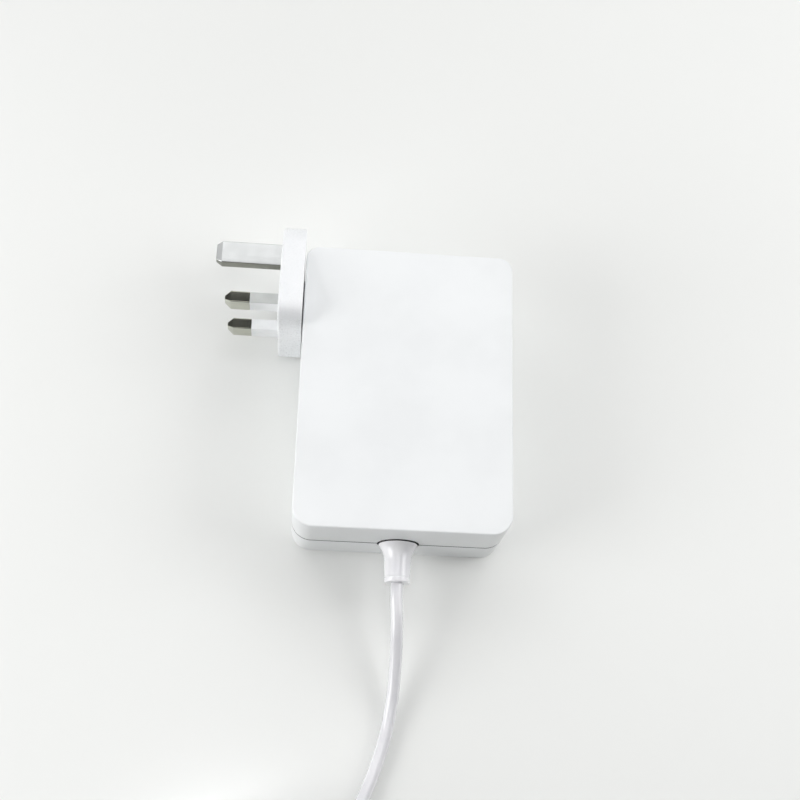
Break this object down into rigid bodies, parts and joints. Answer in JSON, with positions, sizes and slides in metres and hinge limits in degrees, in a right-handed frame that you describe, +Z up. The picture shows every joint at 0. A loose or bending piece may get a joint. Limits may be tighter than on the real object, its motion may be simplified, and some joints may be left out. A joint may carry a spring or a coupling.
{
  "type": "laptop power adapter",
  "caption": "White box-shaped laptop power adapter with a pull-off three-pin mains head on its side and a captive low-voltage lead ending in a barrel plug.",
  "frame": {"origin": "centre of the housing's underside", "axes": "+Z up from the table, +Y along the housing away from the lead, -X towards the mains pins"},
  "size_m": [0.116, 0.2635, 0.0406],
  "materials": {
    "housing_plastic": "fine satin white polycarbonate",
    "head_plastic": "smooth satin white polycarbonate",
    "sleeve_plastic": "pale grey-white insulating sleeve",
    "soft_white_plastic": "soft moulded white elastomer, half gloss",
    "lead_jacket": "smooth glossy white cable jacket",
    "tie_band": "woven hook-and-loop band, pale grey",
    "nickel_plate": "bright nickel plate on brass",
    "plated_steel": "zinc plated",
    "brass": "plain brass",
    "aluminium": "rolled sheet",
    "ferrite": "dark grey ferrite",
    "green_coated_core": "green coated core",
    "copper_winding": "enamelled copper wire",
    "winding_tape": "yellow polyester tape",
    "board": "green solder mask",
    "insulation_film": "clear-white polyester film",
    "brown_epoxy": "brown moulded case",
    "blue_epoxy": "blue epoxy dip",
    "yellow_case": "yellow box case",
    "capacitor_sleeve": "dark shrink sleeve over an aluminium can",
    "black_plastic": "black moulding",
    "inner_plastic": "natural white moulding",
    "red_wire": "insulated wire",
    "black_wire": "insulated wire",
    "grey_pad": "silicone gap pad"
  },
  "bodies": {
    "housing": {"bottom_cover": "housing_plastic", "top_cover": "housing_plastic", "inlet_socket": "inner_plastic", "inlet_pins": "plated_steel", "inlet_wires": "red_wire", "circuit_board": "board", "insulation_sheet": "insulation_film", "fuse": "brown_epoxy", "surge_varistor": "blue_epoxy", "mains_capacitor": "yellow_case", "mains_choke_core": "ferrite", "mains_choke_windings": "copper_winding", "bridge_rectifier": "black_plastic", "bulk_capacitor": "capacitor_sleeve", "transformer_core": "ferrite", "transformer_bobbin": "black_plastic", "transformer_winding": "winding_tape", "primary_heatsink": "aluminium", "switch_transistor": "black_plastic", "secondary_heatsink": "aluminium", "rectifier_transistor": "black_plastic", "heatsink_screws": "plated_steel", "safety_capacitor": "blue_epoxy", "optocoupler": "inner_plastic", "controller_chip": "black_plastic", "output_choke": "green_coated_core", "output_capacitors": "capacitor_sleeve", "output_wires": "black_wire", "heat_spreader": "aluminium", "thermal_pad": "grey_pad", "strain_relief": "soft_white_plastic", "inner_lead": "lead_jacket", "dc_cord": "lead_jacket", "cord_coil": "lead_jacket", "cord_tail": "lead_jacket", "cord_tie": "tie_band", "dc_plug_grip": "soft_white_plastic", "dc_plug_barrel": "nickel_plate", "dc_plug_insulator": "black_plastic", "dc_plug_contact": "brass"},
    "mains_head": {"head_shell": "head_plastic", "head_back": "head_plastic", "earth_pin": "nickel_plate", "live_pin": "nickel_plate", "neutral_pin": "nickel_plate", "pin_sleeves": "sleeve_plastic", "contact_straps": "brass", "contact_tubes": "brass"}
  },
  "joints": [
    {"name": "head_slide", "type": "slide", "parent": "housing", "child": "mains_head", "axis": [-1, 0, 0], "range_m": [0, 0.01]}
  ]
}
